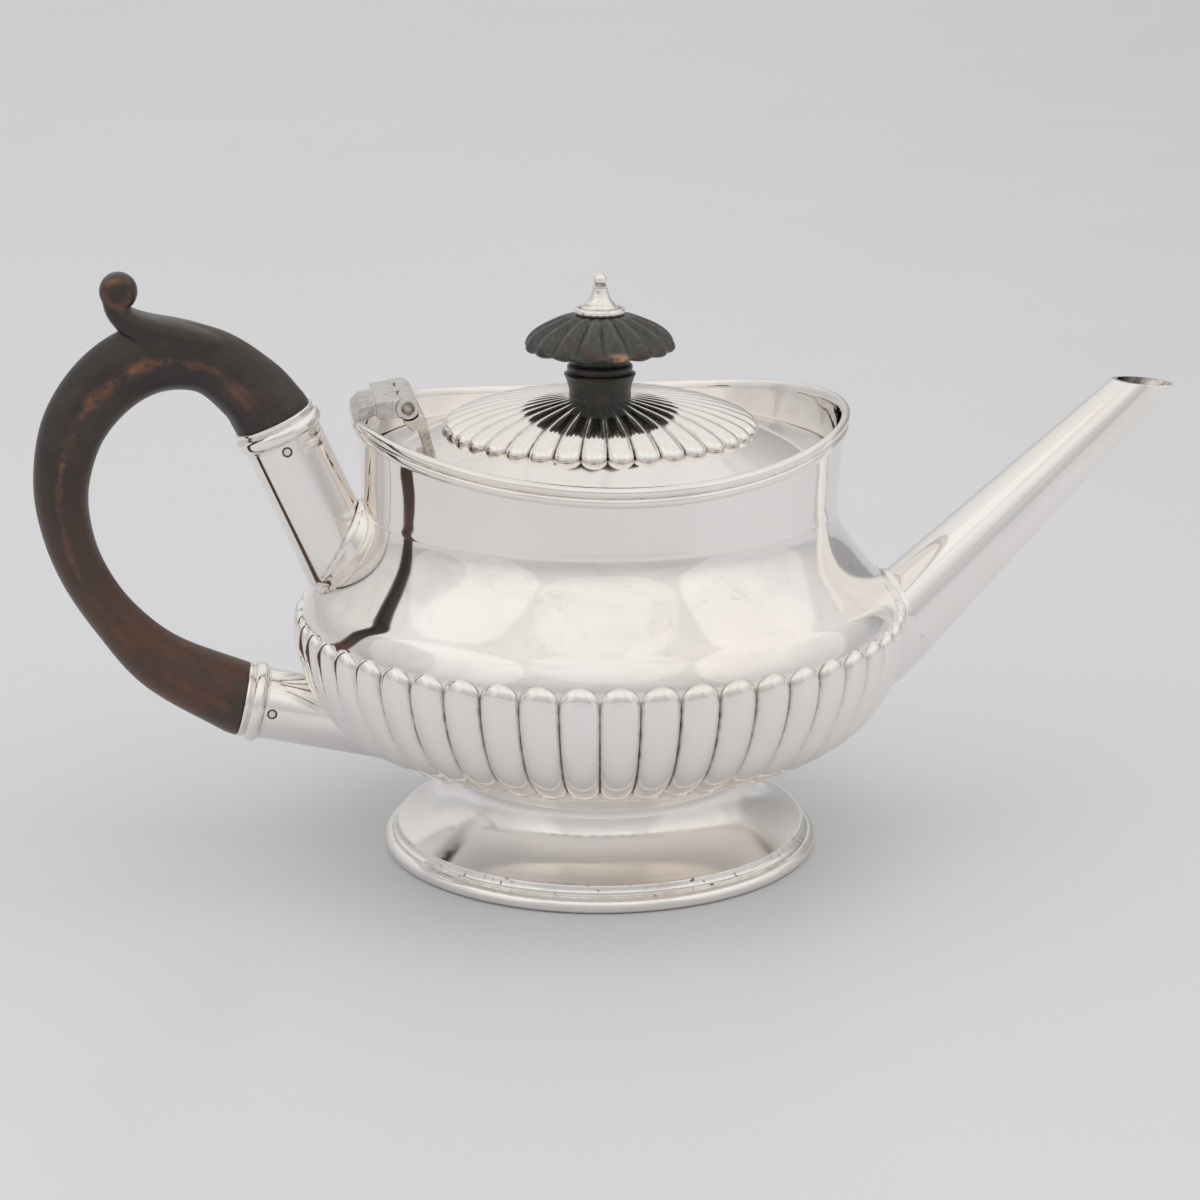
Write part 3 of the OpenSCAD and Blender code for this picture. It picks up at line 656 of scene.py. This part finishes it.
def saddle(name, ring, dirs, centre, flare, nodes, mat, seam, lumps, down=None, lift=0.12, wall=0.8, rows=22):
    """Short foot from a mitred tube end onto the body, with a lumpy solder line along the mitre.

    down is (weight, direction, length) for lines that run on along the tube before they turn in to the body.
    """
    hit = onto_body(ring, dirs, lift)
    away = hit - centre
    away -= (away * dirs).sum(-1)[:, None] * dirs
    away /= np.linalg.norm(away, axis=1)[:, None]
    spread = body_skin(hit + away * flare[:, None], lift)
    c1, c2 = ring * 0.4 + hit * 0.6, hit.copy()
    if down:
        w = down[0][:, None]
        c1 = c1 * (1 - w) + (ring + down[1] * down[2] * 0.6) * w
        c2 = c2 * (1 - w) + (ring + down[1] * down[2]) * w
    reach = np.linalg.norm(hit - ring, axis=1)
    a = np.arange(len(ring)) * 2 * PI / len(ring)
    lump = lumps * (1 + 0.3 * np.sin(9 * a + 1) + 0.22 * np.sin(17 * a))
    grids = []
    for f in np.linspace(0, 1, rows):
        g = (1 - f) ** 3 * ring + 3 * f * (1 - f) ** 2 * c1 + 3 * f * f * (1 - f) * c2 + f ** 3 * spread
        bead = lump * np.exp(-((f * reach - 0.75) / 0.6) ** 2)
        grids.append(g + away * bead[:, None])
    edge = body_skin(spread, -2.6)
    inner = [edge, body_skin(hit - away * wall, -2.2), ring - away * wall]
    rim = np.zeros((rows + 3, len(ring)))
    rim[0], rim[1] = seam, 0.25 * seam
    rim[rows - 1], rim[rows] = 0.35, 0.6
    fleck = np.zeros(rows + 3)
    fleck[:5] = 4 * lumps
    return rings(name, np.concatenate([grids, inner]), mat, "root", "silver", nodes, closed=True, tarnish_and_shade=rim,
                 fleck=fleck[:, None], sharp=50)


def mitre_ring(go, r, k, psi, p, a):
    t = cut_t(go, r, k, psi, p, a)
    q = r + k * t
    return go(np.stack([q * np.cos(psi), q * np.sin(psi), t], -1))


def unit(a):
    return np.array([math.cos(math.radians(a)), 0, math.sin(math.radians(a))])


psi = np.arange(96) * 2 * PI / 96
ring = mitre_ring(placed(M, SPOUT_A), R0, (R1 - R0) / SL, psi, M, -64.7)
f = np.clip((ring[:, 2] - M[1]) / 10.5, -1, 1)  # 1 at the top, -1 at the bottom
turn_in = step01(0.25, -0.9, f)
ang = STUB_A + (34 - STUB_A) * turn_in
dirs = -np.stack([np.cos(np.radians(ang)), 0 * ang, np.sin(np.radians(ang))], -1)
axis_mid = np.array([M[0] - 6, 0, M[1] - 1.5])
saddle("spout_saddle", ring, dirs, axis_mid, 0.5 + 0.5 * step01(-0.5, 0.5, f), ["spout_stub"], SILVER_PLAIN,
       0.9 * step01(-0.1, 0.3, f), 0.05, down=(turn_in, -unit(SPOUT_A + 3.7), 15.0))

# ------------------------------------------------------------------ sockets

U0, UP_A, UP_R, UM = (-79.15, 110.65), 66.4, 9.65, (-65.1, 79.1)
L0, LO_A, LO_R = (-88.6, 40.4), 12.7, 8.75


def tube(name, go, r, wall, start, end_out, end_in, nodes, rows=40, crotch=0.0):
    n = len(end_out)
    ps = np.arange(n) * 2 * PI / n
    grids = []
    for q in np.linspace(0, 1, rows):
        grids.append(go(np.stack([r * np.cos(ps), r * np.sin(ps), start + (end_out - start) * q], -1)))
    for q in np.linspace(1, 0, 12):
        grids.append(go(np.stack([(r - wall) * np.cos(ps), (r - wall) * np.sin(ps), start + (end_in - start) * q], -1)))
    tarnish_and_shade = np.zeros((rows + 12, n))
    left = (1 - np.linspace(0, 1, rows))[:, None] * (end_out - start)
    tarnish_and_shade[:rows] = crotch * np.exp(-left / 7) * np.clip(np.cos(ps), 0, 1) ** 2
    tarnish_and_shade[0], tarnish_and_shade[rows - 1] = 0.5, 0.5
    return rings(name, grids, SILVER_PLAIN, "root", "silver", nodes, closed=True, tarnish_and_shade=tarnish_and_shade, sharp=45)


go = placed(U0, -UP_A)
a = cut_t(go, UP_R, 0, psi, UM, 60)
b = cut_t(go, UP_R - 0.9, 0, psi, UM, 60)
tube("upper_socket_tube", go, UP_R, 0.9, 5.3, a, b, ["upper_socket"], crotch=0.55)
ring = mitre_ring(placed(UM, 6.8), UP_R, 0, psi, UM, 60)
dirs = np.tile(unit(6.8), (96, 1))
f = (ring[:, 2] - UM[1]) / 8
saddle("upper_socket_saddle", ring, dirs, np.array([UM[0] + 4, 0, UM[1]]), 0.1 + 0.6 * step01(-0.9, 0.1, f), ["upper_socket_stub"],
       SILVER_PLAIN, 0.8, 0.2, lift=0.05)


def socket_ring(name, go, r, nodes):
    sec = np.vstack([[(r - 0.85, 0.0)], curve([(r + 0.15, 0.0), (r + 0.35, 0.12), (r + 0.42, 0.5), (r + 0.32, 0.95)], 0.15),
                     curve([(r + 0.12, 1.1), (r + 0.05, 1.35), (r + 0.16, 1.65)], 0.15),
                     curve([(r + 0.40, 1.75), (r + 0.95, 2.3), (r + 1.14, 3.2), (r + 1.05, 4.1), (r + 0.6, 4.75), (r + 0.2, 5.0)], 0.25),
                     curve([(r + 0.12, 5.1), (r + 0.16, 5.35), (r + 0.1, 5.6)], 0.15), [(r - 0.85, 5.6)]])
    tr = np.zeros(len(sec))
    z = sec[:, 1]
    tr = np.maximum(0.6 * np.exp(-((z - 1.4) / 0.3) ** 2), 0.5 * np.exp(-((z - 5.1) / 0.2) ** 2)) * (sec[:, 0] > r)
    return rings(name, turned(sec, 96, go), SILVER_WORN, "root", "silver", nodes, closed=True, tarnish_and_shade=tr[:, None], sharp=40)


socket_ring("upper_socket_ring", placed(U0, -UP_A), UP_R, ["upper_socket_collar"])
socket_ring("lower_socket_ring", placed(L0, -LO_A), LO_R, ["lower_socket_collar"])


UNDER = env[env[:, 0].argmax():][::-1]


def make_lower():
    """Lower socket tube: its top and sides run into the bowl, its underside runs on and blends into the bowl's underside."""
    go = placed(L0, -LO_A)
    base = go(np.stack([LO_R * np.cos(psi), LO_R * np.sin(psi), 0 * psi], -1))
    hit = (onto_body(base, np.tile(unit(-LO_A), (96, 1)), -2.3, 60) - base) @ unit(-LO_A)
    end = np.where(np.isnan(hit), 46.0, np.minimum(hit, 46.0))
    grids = []
    for r, count, back, sink in ((LO_R, 60, False, 0.0), (LO_R - 0.9, 16, True, 0.6)):
        for q in np.linspace(1, 0, count) if back else np.linspace(0, 1, count):
            z = 5.3 + (end - 5.3) * q
            g = go(np.stack([r * np.cos(psi), r * np.sin(psi), z], -1))
            skin = np.interp(np.hypot(g[:, 0], g[:, 1]), UNDER[:, 0], UNDER[:, 1])
            blend = np.maximum(g[:, 2], skin - 6.0 * (1 - step01(33, 46, z)) + sink)
            g[:, 2] = np.where(np.isnan(hit), blend, g[:, 2])
            grids.append(g)
    tarnish_and_shade = np.zeros(76)
    tarnish_and_shade[0], tarnish_and_shade[58:60] = 0.5, 0.3
    return rings("lower_socket_tube", grids, SILVER_PLAIN, "root", "silver", ["lower_socket"], closed=True, tarnish_and_shade=tarnish_and_shade[:, None], sharp=45)


make_lower()


def make_peg(name, go, at, r, node):
    """Domed pin through the socket, with the dark line round each head."""
    sec = np.vstack([[(0.2, r + 0.26)], curve([(0.55, r + 0.24), (0.8, r + 0.15), (0.9, 0.0 + r)], 0.15), [(0.9, r - 0.35)],
                     [(0.9, -r + 0.35)], curve([(0.9, -r), (0.8, -r - 0.15), (0.55, -r - 0.24)], 0.15), [(0.2, -r - 0.26)]])
    n = 32
    ps = np.arange(n) * 2 * PI / n
    g = np.stack([sec[:, :1] * np.cos(ps), np.repeat(sec[:, 1:2], n, 1), at + sec[:, :1] * np.sin(ps)], -1)
    rings(name, go(g), SILVER_WORN, "root", "silver", [node], tarnish_and_shade=0.75, fleck=0.8, sharp=40)
    for side, tag in ((-1, "near"), (1, "far")):
        grids = []
        for rad, up in ((0.88, -0.25), (0.88, 0.05), (1.06, 0.07), (1.26, 0.04), (1.28, -0.25)):
            lx, lz = rad * np.cos(ps), rad * np.sin(ps)
            ly = side * (np.sqrt(r * r - lx * lx) + up)
            grids.append(np.stack([lx, ly, at + lz], -1))
        rings(f"{name}_line_{tag}", go(np.array(grids)), GRIME, "root", "silver", closed=True, sharp=50)


make_peg("upper_peg_pin", placed(U0, -UP_A), 7.1, UP_R, "upper_peg")
make_peg("lower_peg_pin", placed(L0, -LO_A), 7.0, LO_R, "lower_peg")

# ------------------------------------------------------------------ handle

ST = np.array([(-79.15, 110.65, 9.55, 9.45), (-84.2, 117.6, 8.7, 8.9), (-94, 124.9, 8, 8.1), (-106.5, 126.2, 8.6, 7.6),
               (-117.4, 120.8, 8.4, 7.2), (-126, 110.2, 7.7, 7), (-129.7, 97.2, 6.72, 6.7), (-129.2, 85.5, 6.05, 6.4),
               (-125.5, 73.7, 5.7, 6.1), (-118.2, 61.9, 5.9, 6.2), (-107.1, 50.4, 7.5, 7), (-88.6, 40.4, 9.2, 9.0)])


def sweep(st, cols, d0=None, d1=None, step=0.8, round_=2.0):
    c = curve(st, step)
    d = np.gradient(c[:, :2], axis=0)
    d /= np.linalg.norm(d, axis=1)[:, None]
    if d0 is not None:
        d[0] = d0
    if d1 is not None:
        d[-1] = d1
    ps = np.arange(cols) * 2 * PI / cols
    cc, ss = np.cos(ps), np.sin(ps)
    m = (np.abs(cc) ** round_ + np.abs(ss) ** round_) ** (-1 / round_)
    cc, ss = cc * m, ss * m
    g = np.stack([c[:, :1] + c[:, 2:3] * cc * d[:, 1:2], c[:, 3:4] * ss, c[:, 1:2] - c[:, 2:3] * cc * d[:, :1]], -1)
    return g, c


def make_handle():
    up, lo = unit(-UP_A)[[0, 2]], unit(-LO_A)[[0, 2]]
    bar, mid = sweep(ST, 48, -up, lo, round_=1.9)
    stem, _ = sweep([(-90, 127.6, 3.0, 5.5), (-95.5, 129.2, 3.9, 8.1), (-101.5, 130.7, 4.2, 8.1), (-107.5, 132.4, 3.8, 7.2),
                     (-111.9, 134.5, 3.2, 6.0), (-114.8, 137.0, 2.6, 4.8), (-116.0, 139.6, 2.2, 4.2), (-115.8, 142.0, 2.0, 3.9)],
                    36, step=0.5, round_=3.2)
    disc = np.array([(0.05, 3.7), (2.1, 3.75), (2.35, 4.0), (2.7, 4.1), (3.4, 3.85), (4.05, 3.1), (4.4, 2.0), (4.5, 0.8)])
    disc = np.vstack([disc, disc[::-1] * (1, -1)])
    lam = np.arange(40) * 2 * PI / 40
    core = np.stack([-114.4 + disc[:, :1] * np.cos(lam), np.repeat(disc[:, 1:], 40, 1), 142.0 + disc[:, :1] * np.sin(lam)], -1)
    tenons = [turned([(8.7, -2), (8.7, 13.6), (8.3, 14)], 48, placed(U0, -UP_A)), turned([(7.8, -2), (7.8, 13.6), (7.4, 14)], 48, placed(L0, -LO_A))]
    done, co = carve("handle_carved", [bar, stem, core] + tenons, 0.42, 5)
    n = len(co)
    near = np.empty(n, int)
    for i in range(0, n, 4000):
        q = co[i:i + 4000][:, [0, 2]]
        near[i:i + 4000] = ((q[:, None, :] - mid[None, :, :2]) ** 2).sum(-1).argmin(1)
    c = mid[near]
    d = np.gradient(mid[:, :2], axis=0)
    d = (d / np.linalg.norm(d, axis=1)[:, None])[near]
    out = (co[:, 0] - c[:, 0]) * d[:, 1] - (co[:, 2] - c[:, 1]) * d[:, 0]
    a = np.arctan2(co[:, 1] / c[:, 3], out / c[:, 2])
    along = near / (len(mid) - 1)
    ridge = np.abs(np.abs(a) - PI / 2 + 0.25 * (along - 0.3))
    ridge += 0.05 * np.sin(70 * along) + 0.03 * np.sin(171 * along + 1)
    width = 0.09 + 0.07 * np.exp(-((along - 0.30) / 0.07) ** 2)
    wear = np.exp(-(ridge / width) ** 2) * (0.25 + 0.75 * np.exp(-((along - 0.36) / 0.20) ** 2))
    slash = np.abs(co[:, 0] + 86.5 + 0.9 * (co[:, 2] - 116.5)) / 1.3
    wear = np.maximum(wear, 0.8 * np.exp(-slash ** 2) * np.exp(-((along - 0.07) / 0.035) ** 2) * (np.abs(co[:, 1]) > 3))
    volute = np.hypot(co[:, 0] + 114.4, co[:, 2] - 142.0)
    on_ball = (co[:, 2] > 137.2) & (volute < 5.5)
    wear = np.where(on_ball, 0.85 * np.exp(-((volute - 3.1) / 0.75) ** 2) * (np.abs(co[:, 1]) > 2.2), wear)
    low = np.clip(step01(0.35, 0.9, along) + 0.08, 0, 1) * (~on_ball)
    finish_piece("handle_carved", done, {"wear": wear, "low": low}, WOOD, "root", "handle")


make_handle()

# ------------------------------------------------------------------ hinge and what stays from the CAD

HX, HZ, BARREL, KNUCKLE, GAP = -47.7, 114.4, 12.5, 2.7, 0.25
SEG = 2 * BARREL / 5


def rounded(poly, r):
    """Polygon with its corners rounded off."""
    p, out = np.array(poly, float), []
    for i in range(len(p)):
        b, u, v = p[i], p[i - 1] - p[i], p[(i + 1) % len(p)] - p[i]
        lu, lv = np.linalg.norm(u), np.linalg.norm(v)
        s, e = b + u / lu * min(r, 0.4 * lu), b + v / lv * min(r, 0.4 * lv)
        out += [(1 - f) ** 2 * s + 2 * f * (1 - f) * b + f * f * e for f in (0, 0.33, 0.67, 1)]
    return np.array(out)


def slab(poly, y0, y1, r=0.35):
    """Prism along Y over an XZ polygon."""
    p = rounded(poly, r)
    return np.array([np.stack([p[:, 0], np.full(len(p), y), p[:, 1]], -1) for y in (y0, y1)])


def roll(y0, y1, hole=1.27, r=KNUCKLE):
    """Knuckle: ring of the barrel from y0 to y1 with its bore, as a grid closed on itself."""
    c = 0.25
    sec = [(hole, y0), (r - c, y0), (r, y0 + c), (r, y1 - c), (r - c, y1), (hole, y1)]
    th = np.arange(40) * 2 * PI / 40
    return np.array([np.stack([HX + q * np.cos(th), np.full(40, y), HZ + q * np.sin(th)], -1) for q, y in sec])


def knuckle_span(i):
    y0 = -BARREL + i * SEG
    return y0 + (GAP / 2 if i else 0), y0 + SEG - (GAP / 2 if i < 4 else 0)


def hinge_marks(co):
    d = np.hypot(co[:, 0] - HX, co[:, 2] - HZ)
    y = np.abs(co[:, 1])
    tarnish_and_shade = np.exp(-((d - KNUCKLE - 0.1) / 0.22) ** 2) * (y > BARREL - 0.5) * (y < BARREL - 0.12)
    tarnish_and_shade = np.maximum(tarnish_and_shade, np.exp(-((d - 1.4) / 0.25) ** 2) * (y > BARREL - 0.4))
    k = (co[:, 1] + BARREL) / SEG
    tarnish_and_shade = np.maximum(tarnish_and_shade, np.exp(-((k - np.round(k)) * SEG / 0.22) ** 2) * (y < BARREL - 1) * (d < 4.2))
    # Brown tarnish on the lower part of the lid's post and 0.14 all over; the 0.4 term darkens the arm's end faces as
    # painted shade (a dark reflection).
    foot = 0.7 * step01(108.4, 106.4, co[:, 2]) + 0.4 * (y > BARREL - 0.6) * (co[:, 0] < HX - 3.4) + 0.14
    # Painted shade: the arm's root towards the wall is darkened.
    foot = foot + 0.5 * step01(-55.0, -55.6, co[:, 0]) * (co[:, 2] < 115.0)
    return {"tarnish_and_shade": 1.5 * tarnish_and_shade + foot, "fleck": np.full(len(co), 0.7)}


def make_hinge():
    clear = [(HX + 2.98 * math.cos(a), HZ + 2.98 * math.sin(a)) for a in np.radians(np.linspace(129, 226, 9))]
    arm = [(-55.2, 115.9), (-51.6, 116.45)] + clear + [(-54.9, 111.8)]
    root = [(-60.3, 112.4), (-58.3, 114.5), (-54.4, 115.1), (-54.4, 112.6), (-57.9, 111.2), (-60.3, 109.0)]
    lug = [(-51.5, 116.4), (-49.3, 116.9), (-47.9, 117.0), (-46.9, 114.4), (-48.4, 111.9), (-51.5, 112.2)]
    shells = [slab(arm, -BARREL + 0.25, BARREL - 0.25), slab(root, -BARREL + 3.2, BARREL - 3.2)]
    for i in (0, 2, 4):
        y0, y1 = knuckle_span(i)
        shells += [roll(y0, y1, 0.02), slab(lug, y0 + (0.25 if i == 0 else 0), y1 - (0.25 if i == 4 else 0))]
    done, co = carve("hinge_fixed_cast", shells, 0.22, 2)
    finish_piece("hinge_fixed_cast", done, hinge_marks(co), SILVER_HINGE, "root", "hinge_fixed_leaf")

    arc = [(HX + 3.1 * math.cos(a), HZ + 3.1 * math.sin(a)) for a in np.radians(np.linspace(-33, -106, 7))]
    block = arc + [(-48.9, 110.9), (-46.5, 108.6), (-43.3, 110.0), (-43.9, 112.5)]
    post = [(-45.8, 110.2), (-43.0, 110.8), (-41.4, 103.9), (-43.6, 103.6)]
    drop = [(-49.3, 113.4), (-45.6, 114.6), (-44.6, 111.4), (-48.3, 110.9)]
    shells = [slab(block, -BARREL + 0.4, BARREL - 0.4, 0.2), slab(post, -6.2, 6.2)]
    for i in (1, 3):
        y0, y1 = knuckle_span(i)
        shells += [roll(y0, y1, 0.02), slab(drop, y0, y1)]
    done, co = carve("hinge_lid_cast", shells, 0.22, 2)
    finish_piece("hinge_lid_cast", done, hinge_marks(co), SILVER_HINGE, "lid", "lid_hinge_leaf")

    sec = np.array([(0.3, -12.86), (0.8, -12.82), (1.15, -12.7), (1.24, -12.5), (1.24, 12.5), (1.15, 12.7), (0.8, 12.82), (0.3, 12.86)])
    th = np.arange(32) * 2 * PI / 32
    g = np.stack([HX + sec[:, :1] * np.cos(th), np.repeat(sec[:, 1:], 32, 1), HZ + sec[:, :1] * np.sin(th)], -1)
    rings("hinge_pin_rod", g, SILVER_HINGE, "root", "silver", ["hinge_pin"],
          tarnish_and_shade=np.array([0.7, 0.8, 1.6, 1.8, 1.8, 1.6, 0.8, 0.7])[:, None], sharp=40)


make_hinge()

for name in ("lid_seat", "knob_stud", "knob_nut"):
    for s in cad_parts[name].material_slots:
        s.material = SILVER

# ------------------------------------------------------------------ floor, light and camera


def make_floor():
    m = Net("floor_paper")
    m.set(Base_Color=m.mix(m.span(m.noise(3, 3), 0.3, 0.7), (0.748, 0.755, 0.788), (0.763, 0.77, 0.803)),
          Roughness=m.span(m.noise(9, 2), 0.3, 0.7, 0.30, 0.36), Specular_IOR_Level=0.35)
    n = 64
    th = np.arange(n) * 2 * PI / n
    rad = np.array([0.15, 0.4, 1.0, 2.5, 6.0, 15.0])[:, None]
    g = np.stack([rad * np.cos(th), rad * np.sin(th), np.full((6, n), -0.0001)], -1)
    v = np.vstack([g.reshape(-1, 3), (0, 0, -0.0001)])
    f = ring_faces(6, n, False) + [((i + 1) % n, i, 6 * n) for i in range(n)]
    me = bpy.data.meshes.new("studio_floor")
    me.from_pydata(v.tolist(), [], f)
    me.materials.append(m.mat)
    ob = bpy.data.objects.new("studio_floor", me)
    bpy.context.scene.collection.objects.link(ob)


make_floor()

def make_tent():
    """Soft studio tent: brighter overhead and towards two wide panels, with faint folds in the cloth."""
    world = bpy.data.worlds.new("soft_tent")
    bpy.context.scene.world = world
    world.use_nodes = True
    t = world.node_tree
    t.nodes.clear()
    new = t.nodes.new
    out, bg, tc = new("ShaderNodeOutputWorld"), new("ShaderNodeBackground"), new("ShaderNodeTexCoord")
    d = tc.outputs["Generated"]

    def span(v, a, b, lo, hi):
        n = new("ShaderNodeMapRange")
        n.interpolation_type = "SMOOTHSTEP"
        t.links.new(v, n.inputs["Value"])
        for i, w in zip(("From Min", "From Max", "To Min", "To Max"), (a, b, lo, hi)):
            n.inputs[i].default_value = w
        return n.outputs[0]

    def op(kind, a, b):
        n = new("ShaderNodeMath")
        n.operation = kind
        for i, v in enumerate((a, b)):
            if isinstance(v, bpy.types.NodeSocket):
                t.links.new(v, n.inputs[i])
            else:
                n.inputs[i].default_value = v
        return n.outputs[0]

    def towards(v):
        n = new("ShaderNodeVectorMath")
        n.operation = "DOT_PRODUCT"
        t.links.new(d, n.inputs[0])
        n.inputs[1].default_value = Vector(v).normalized()
        return n.outputs["Value"]

    def folds(scale, distort):
        n = new("ShaderNodeTexNoise")
        n.inputs["Scale"].default_value, n.inputs["Detail"].default_value = scale, 2.0
        n.inputs["Distortion"].default_value = distort
        t.links.new(d, n.inputs["Vector"])
        return n.outputs["Fac"]

    sep, ramp = new("ShaderNodeSeparateXYZ"), new("ShaderNodeValToRGB")
    t.links.new(d, sep.inputs[0])
    t.links.new(sep.outputs["Z"], ramp.inputs[0])
    stops = ramp.color_ramp.elements
    stops[0].position, stops[0].color = 0.0, (0.56, 0.56, 0.57, 1)
    stops[1].position, stops[1].color = 1.0, (0.86, 0.845, 0.82, 1)
    for pos, col in ((0.12, (0.55, 0.55, 0.56, 1)), (0.35, (0.68, 0.672, 0.662, 1)), (0.62, (0.82, 0.808, 0.79, 1))):
        stops.new(pos).color = col
    gain = span(towards((-0.90, -0.25, 0.42)), 0.84, 0.857, 0.0, 0.15)
    gain = op("MAXIMUM", gain, span(towards((0.85, -0.35, 0.42)), 0.835, 0.852, 0.0, 0.17))
    gain = op("MAXIMUM", gain, span(towards((-0.05, -0.66, 0.75)), 0.892, 0.905, 0.0, 0.09))
    gain = op("ADD", gain, span(towards((0.60, 0.78, 0.18)), 0.88, 0.985, 0.0, -0.36))
    gain = op("ADD", gain, span(towards((-0.95, 0.10, 0.30)), 0.93, 0.95, 0.0, -0.16))
    gain = op("ADD", gain, span(folds(2.2, 1.2), 0.35, 0.65, 0.965, 1.04))
    crease = op("ABSOLUTE", op("SUBTRACT", folds(1.9, 2.2), 0.5), 0.0)
    gain = op("MULTIPLY", gain, span(crease, 0.0, 0.012, 0.87, 1.0))
    mul = new("ShaderNodeVectorMath")
    mul.operation = "SCALE"
    t.links.new(ramp.outputs[0], mul.inputs[0])
    t.links.new(gain, mul.inputs["Scale"])
    t.links.new(mul.outputs[0], bg.inputs["Color"])
    t.links.new(bg.outputs[0], out.inputs[0])


make_tent()


def softbox(name, loc, aim, size, power, tint=(1, 1, 1)):
    d = bpy.data.lights.new(name, "AREA")
    d.shape, d.size, d.size_y, d.energy, d.color = "RECTANGLE", size[0], size[1], power, tint
    ob = bpy.data.objects.new(name, d)
    ob.location = loc
    ob.rotation_euler = (Vector(aim) - Vector(loc)).to_track_quat("-Z", "Y").to_euler()
    ob.visible_glossy = False
    bpy.context.scene.collection.objects.link(ob)


softbox("soft_top", (0.1, -0.1, 1.6), (0, 0, 0.05), (1.2, 0.9), 1.5, (1, 0.985, 0.96))
softbox("soft_left", (-1.3, -0.9, 0.9), (0, 0, 0.06), (0.7, 1.0), 1.0)
softbox("soft_right", (1.3, -0.6, 0.8), (0, 0, 0.06), (0.6, 1.0), 1.2, (1, 0.98, 0.95))

cam = bpy.data.cameras.new("camera")
cam.lens, cam.sensor_width = 2982 / 1200 * 36, 36
cam.clip_start, cam.clip_end = 0.05, 60
cam_ob = bpy.data.objects.new("camera", cam)
yaw, pitch = math.radians(8.25), math.radians(15.65)
look = Vector((math.sin(yaw) * math.cos(pitch), math.cos(yaw) * math.cos(pitch), -math.sin(pitch)))
cam_ob.location = (-0.1020, -0.7036, 0.2612)
cam_ob.rotation_euler = look.to_track_quat("-Z", "Y").to_euler()
bpy.context.scene.collection.objects.link(cam_ob)
bpy.context.scene.camera = cam_ob
bpy.context.scene.view_settings.view_transform = "Standard"
